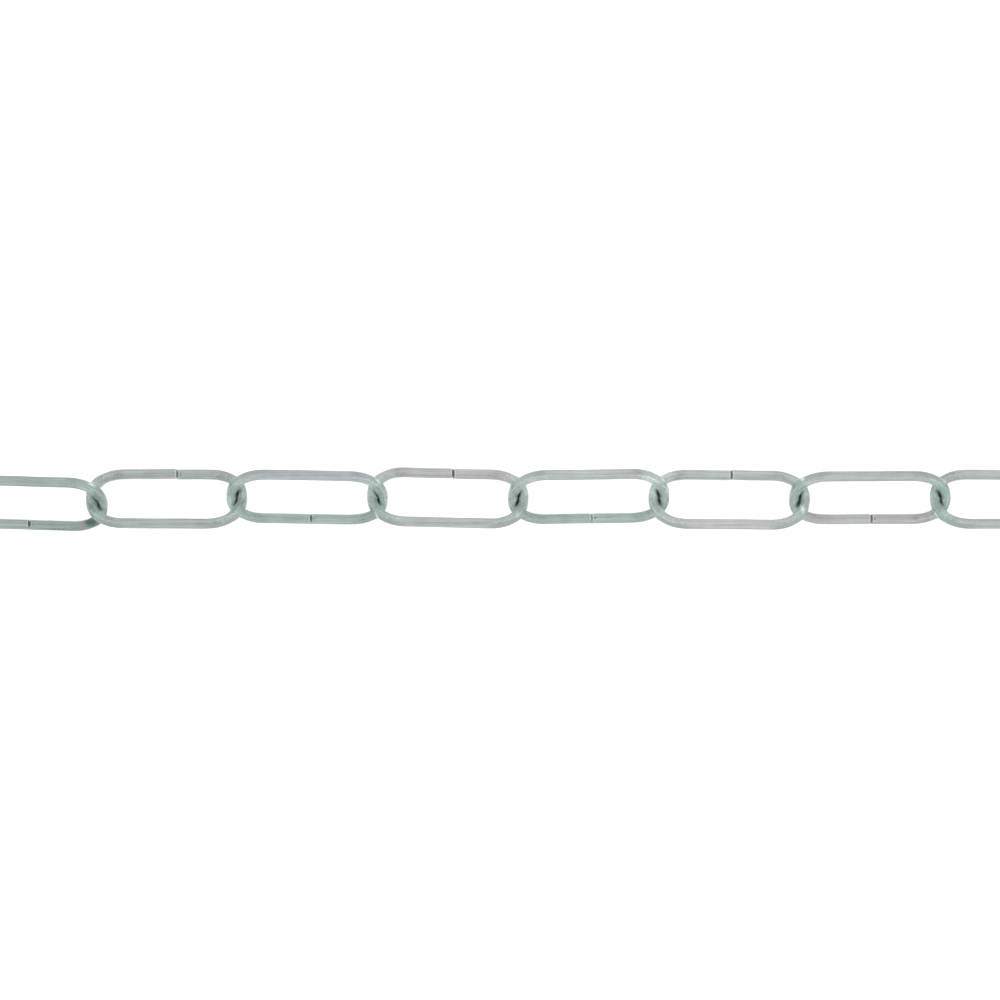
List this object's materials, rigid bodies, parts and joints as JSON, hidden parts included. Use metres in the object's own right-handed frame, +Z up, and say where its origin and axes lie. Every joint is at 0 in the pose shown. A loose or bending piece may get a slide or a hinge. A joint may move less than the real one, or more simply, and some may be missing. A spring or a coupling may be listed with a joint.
{
  "type": "length of open-link steel chain",
  "caption": "Straight length of long oval open-link steel chain, zinc plated, each link a bent wire butted but not welded in one side, lying on a flat floor.",
  "frame": {"origin": "under the middle of the chain's box, on the floor it lies on", "axes": "+X along the chain, +Y across it on the floor, +Z up"},
  "size_m": [0.6186, 0.0216, 0.0187],
  "materials": {
    "zinc_steel": "satin zinc plating on drawn wire, faintly green, with fine lines along the wire"
  },
  "bodies": {
    "link_01": {"link_01": "zinc_steel"},
    "link_02": {"link_02": "zinc_steel"},
    "link_03": {"link_03": "zinc_steel"},
    "link_04": {"link_04": "zinc_steel"},
    "link_05": {"link_05": "zinc_steel"},
    "link_06": {"link_06": "zinc_steel"},
    "link_07": {"link_07": "zinc_steel"},
    "link_08": {"link_08": "zinc_steel"},
    "link_09": {"link_09": "zinc_steel"},
    "link_10": {"link_10": "zinc_steel"},
    "link_11": {"link_11": "zinc_steel"},
    "link_12": {"link_12": "zinc_steel"},
    "link_13": {"link_13": "zinc_steel"}
  },
  "joints": [
    {"name": "bend_1_left", "type": "hinge", "parent": "link_07", "child": "link_06", "pos_m": [-0.02559, 0.00145, 0.00936], "axis": [-0.0185, -0.7069, 0.7071], "range_deg": [-90, 90]},
    {"name": "bend_1_right", "type": "hinge", "parent": "link_07", "child": "link_08", "pos_m": [0.0252, 0.00012, 0.00936], "axis": [-0.0185, -0.7069, 0.7071], "range_deg": [-90, 90]},
    {"name": "bend_2_left", "type": "hinge", "parent": "link_06", "child": "link_05", "pos_m": [-0.07266, 0.00134, 0.00936], "axis": [0.0099, 0.707, 0.7071], "range_deg": [-90, 90]},
    {"name": "bend_2_right", "type": "hinge", "parent": "link_08", "child": "link_09", "pos_m": [0.0723, 0.00159, 0.00936], "axis": [-0.0111, 0.707, 0.7071], "range_deg": [-90, 90]},
    {"name": "bend_3_left", "type": "hinge", "parent": "link_05", "child": "link_04", "pos_m": [-0.1197, 0.00062, 0.00936], "axis": [0.0037, 0.7071, -0.7071], "range_deg": [-90, 90]},
    {"name": "bend_3_right", "type": "hinge", "parent": "link_09", "child": "link_10", "pos_m": [0.11929, 0.00001, 0.00936], "axis": [0.0049, 0.7071, -0.7071], "range_deg": [-90, 90]},
    {"name": "bend_4_left", "type": "hinge", "parent": "link_04", "child": "link_03", "pos_m": [-0.16633, -0.0003, 0.00936], "axis": [-0.0197, -0.7068, -0.7071], "range_deg": [-90, 90]},
    {"name": "bend_4_right", "type": "hinge", "parent": "link_10", "child": "link_11", "pos_m": [0.16638, 0.00083, 0.00936], "axis": [0.0012, -0.7071, -0.7071], "range_deg": [-90, 90]},
    {"name": "bend_5_left", "type": "hinge", "parent": "link_03", "child": "link_02", "pos_m": [-0.21351, 0.00029, 0.00936], "axis": [-0.0111, -0.707, 0.7071], "range_deg": [-90, 90]},
    {"name": "bend_5_right", "type": "hinge", "parent": "link_11", "child": "link_12", "pos_m": [0.21349, 0.00052, 0.00936], "axis": [0.0037, -0.7071, 0.7071], "range_deg": [-90, 90]},
    {"name": "bend_6_left", "type": "hinge", "parent": "link_02", "child": "link_01", "pos_m": [-0.26062, 0.00065, 0.00936], "axis": [-0.0037, 0.7071, 0.7071], "range_deg": [-90, 90]},
    {"name": "bend_6_right", "type": "hinge", "parent": "link_12", "child": "link_13", "pos_m": [0.26066, 0.00098, 0.00936], "axis": [-0.0025, 0.7071, 0.7071], "range_deg": [-90, 90]}
  ]
}
